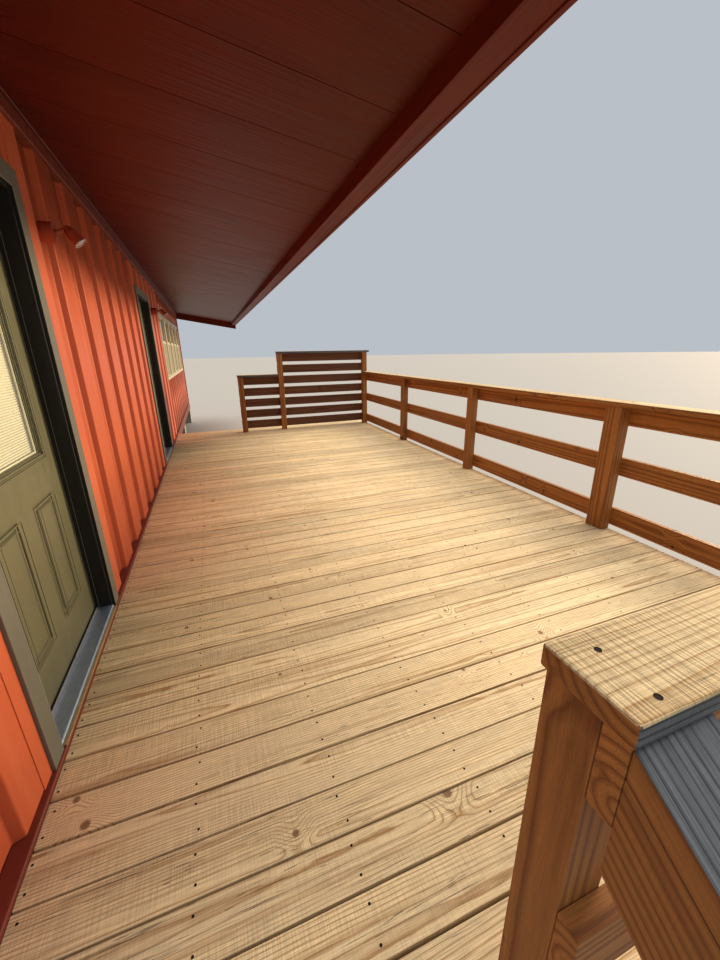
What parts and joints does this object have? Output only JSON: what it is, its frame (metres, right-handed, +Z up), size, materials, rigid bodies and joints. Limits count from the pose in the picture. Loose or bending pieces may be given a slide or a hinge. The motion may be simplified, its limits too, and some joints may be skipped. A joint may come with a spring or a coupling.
{
  "type": "shipping container cabin",
  "caption": "Ribbed steel container on block piers made into a cabin, with half-glazed doors, hung windows, a low gable roof with a deep porch eave, and a railed timber deck with a stair",
  "frame": {"origin": "bottom centre of the building's box, on the ground", "axes": "+X points out of the front wall across the deck, +Y along the container away from the stair, +Z up"},
  "size_m": [6.3936, 13.407, 3.3907],
  "materials": {
    "concrete": "grey concrete blocks",
    "wall_steel": "weathered brick-red enamel on ribbed steel",
    "frame_steel": "dark red-brown primer",
    "floor_ply": "sealed plywood",
    "lining": "painted board",
    "door_paint": "satin olive-grey enamel",
    "sill_metal": "mill-finish extrusion with grip ribs",
    "glass": "clear double glazing",
    "hardware": "satin nickel",
    "window_vinyl": "almond vinyl",
    "light_paint": "wall paint over a cast lamp",
    "framing_timber": "rough-sawn treated pine",
    "roof_steel": "dark red ribbed sheet",
    "soffit_paint": "dark red gloss paint with brush marks",
    "deck_timber": "weathered rough-sawn pine",
    "rail_timber": "oiled rough-sawn pine"
  },
  "bodies": {
    "root": {"foundation_blocks": "concrete", "container_rails": "wall_steel", "floor_bearers": "frame_steel", "floor": "floor_ply", "corner_posts": "wall_steel", "corner_blocks": "wall_steel", "container_roof": "frame_steel", "ceiling": "lining", "front_wall_near": "wall_steel", "front_wall_middle": "wall_steel", "front_wall_pier": "wall_steel", "front_wall_end": "wall_steel", "front_wall_over_doors": "wall_steel", "front_wall_under_windows": "wall_steel", "front_wall_over_windows": "wall_steel", "back_wall": "wall_steel", "near_end_wall": "wall_steel", "far_end_wall": "wall_steel", "door_frames": "door_paint", "doorsills": "sill_metal", "window_frame": "window_vinyl", "window_sashes": "window_vinyl", "window_glass": "glass", "flood_lights": "light_paint", "roof_plates": "framing_timber", "rafters": "framing_timber", "roof_sheets": "roof_steel", "ridge_cap": "roof_steel", "soffits": "soffit_paint", "eave_fascias": "soffit_paint", "barge_boards": "soffit_paint", "gable_boards": "soffit_paint", "deck_boards": "deck_timber", "deck_joists": "framing_timber", "deck_beams": "framing_timber", "rail_posts": "rail_timber", "rail_boards": "rail_timber", "screen_boards": "rail_timber", "cap_boards": "deck_timber", "stair_stringers": "framing_timber", "stair_treads": "deck_timber", "stair_rail": "rail_timber"},
    "door_1": {"door_1_leaf": "door_paint", "door_1_glass": "glass", "door_1_hardware": "hardware"},
    "door_2": {"door_2_leaf": "door_paint", "door_2_glass": "glass", "door_2_hardware": "hardware"}
  },
  "joints": [
    {"name": "door_1_hinge", "type": "hinge", "parent": "root", "child": "door_1", "pos_m": [-0.5487, -3.9383, 1.577], "axis": [0, 0, -1], "range_deg": [0, 95]},
    {"name": "door_2_hinge", "type": "hinge", "parent": "root", "child": "door_2", "pos_m": [-0.5487, 0.2858, 1.577], "axis": [0, 0, -1], "range_deg": [0, 95]}
  ]
}
